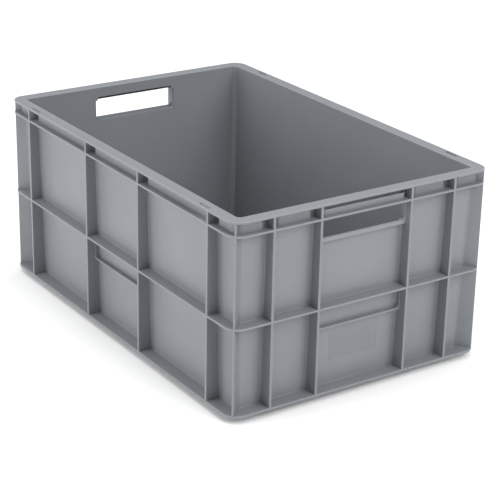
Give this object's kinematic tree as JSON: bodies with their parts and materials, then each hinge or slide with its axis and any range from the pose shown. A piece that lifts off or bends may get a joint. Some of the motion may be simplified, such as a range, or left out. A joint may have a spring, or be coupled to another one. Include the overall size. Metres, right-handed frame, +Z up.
{
  "type": "stacking storage crate",
  "caption": "Open-topped rigid plastic crate with ribbed and flanged walls, hand holes in the short sides and a foot for stacking.",
  "frame": {"origin": "middle of the footprint, on the surface the crate stands on", "axes": "+X along the long sides, +Y along the short sides, +Z up"},
  "size_m": [0.6, 0.4, 0.27],
  "materials": {
    "grey_polypropylene": "fine-textured moulded polypropylene, satin"
  },
  "bodies": {
    "root": {"floor_panel": "grey_polypropylene", "underside_rib_1": "grey_polypropylene", "underside_rib_2": "grey_polypropylene", "underside_rib_3": "grey_polypropylene", "underside_rib_4": "grey_polypropylene", "underside_rib_5": "grey_polypropylene", "base_rail_front": "grey_polypropylene", "base_rail_right": "grey_polypropylene", "base_rail_back": "grey_polypropylene", "base_rail_left": "grey_polypropylene", "wall_front": "grey_polypropylene", "wall_right": "grey_polypropylene", "hand_hole_cheek_right_a": "grey_polypropylene", "hand_hole_cheek_right_b": "grey_polypropylene", "hand_hole_lip_right": "grey_polypropylene", "wall_back": "grey_polypropylene", "wall_left": "grey_polypropylene", "hand_hole_cheek_left_a": "grey_polypropylene", "hand_hole_cheek_left_b": "grey_polypropylene", "hand_hole_lip_left": "grey_polypropylene", "corner_wall_front_right": "grey_polypropylene", "corner_fin_front_right": "grey_polypropylene", "corner_wall_back_right": "grey_polypropylene", "corner_fin_back_right": "grey_polypropylene", "corner_wall_back_left": "grey_polypropylene", "corner_fin_back_left": "grey_polypropylene", "corner_wall_front_left": "grey_polypropylene", "corner_fin_front_left": "grey_polypropylene", "rib_front_1": "grey_polypropylene", "rib_front_2": "grey_polypropylene", "rib_front_3": "grey_polypropylene", "rib_front_4": "grey_polypropylene", "rib_right_1": "grey_polypropylene", "rib_right_2": "grey_polypropylene", "rib_right_3": "grey_polypropylene", "rib_right_4": "grey_polypropylene", "rib_back_1": "grey_polypropylene", "rib_back_2": "grey_polypropylene", "rib_back_3": "grey_polypropylene", "rib_back_4": "grey_polypropylene", "rib_left_1": "grey_polypropylene", "rib_left_2": "grey_polypropylene", "rib_left_3": "grey_polypropylene", "rib_left_4": "grey_polypropylene", "mid_flange_front": "grey_polypropylene", "small_ledge_front": "grey_polypropylene", "mid_flange_right": "grey_polypropylene", "small_ledge_right": "grey_polypropylene", "mid_flange_back": "grey_polypropylene", "small_ledge_back": "grey_polypropylene", "mid_flange_left": "grey_polypropylene", "small_ledge_left": "grey_polypropylene", "rim_rail_front": "grey_polypropylene", "rim_rail_right": "grey_polypropylene", "rim_rail_back": "grey_polypropylene", "rim_rail_left": "grey_polypropylene"}
  },
  "joints": []
}
